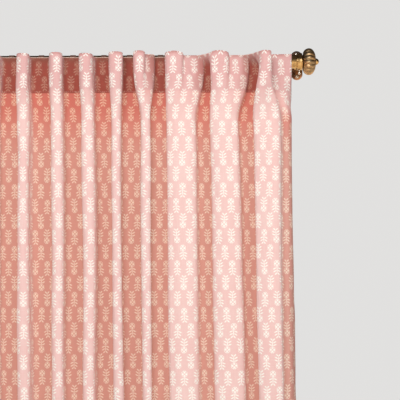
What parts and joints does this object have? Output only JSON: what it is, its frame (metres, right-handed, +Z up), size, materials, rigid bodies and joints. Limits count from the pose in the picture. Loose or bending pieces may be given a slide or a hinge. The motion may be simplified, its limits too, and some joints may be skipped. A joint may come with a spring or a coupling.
{
  "type": "window curtain on a curtain rod",
  "caption": "Long printed cotton curtain panel gathered in uneven folds by hidden back tabs on a brass curtain rod with ribbed round finials and two wall brackets.",
  "frame": {"origin": "centre of the right wall plate's back face, on the wall", "axes": "+X along the rod to the right, +Y into the wall, +Z up"},
  "size_m": [0.7724, 0.1215, 2.158],
  "materials": {
    "cotton": "semi-sheer plain weave with slubs, printed with small cream leaf sprigs",
    "tape": "brown twill tape",
    "brass": "antique, satin",
    "dark_brass": "antique, darkened",
    "screw_steel": "worn plating"
  },
  "bodies": {
    "root": {"curtain_panel": "cotton", "tab_01": "tape", "tab_02": "tape", "tab_03": "tape", "tab_04": "tape", "tab_05": "tape", "tab_06": "tape", "tab_07": "tape", "tab_08": "tape", "tab_09": "tape", "tab_10": "tape", "tab_11": "tape", "rod": "brass", "wall_plate_right": "dark_brass", "bracket_arm_right": "brass", "wall_screw_upper_right": "screw_steel", "wall_screw_lower_right": "screw_steel", "thumb_screw_right": "screw_steel", "finial_collar_right": "dark_brass", "finial_melon_right": "brass", "finial_tip_right": "brass", "wall_plate_left": "dark_brass", "bracket_arm_left": "brass", "wall_screw_upper_left": "screw_steel", "wall_screw_lower_left": "screw_steel", "thumb_screw_left": "screw_steel", "finial_collar_left": "dark_brass", "finial_melon_left": "brass", "finial_tip_left": "brass"}
  },
  "joints": []
}
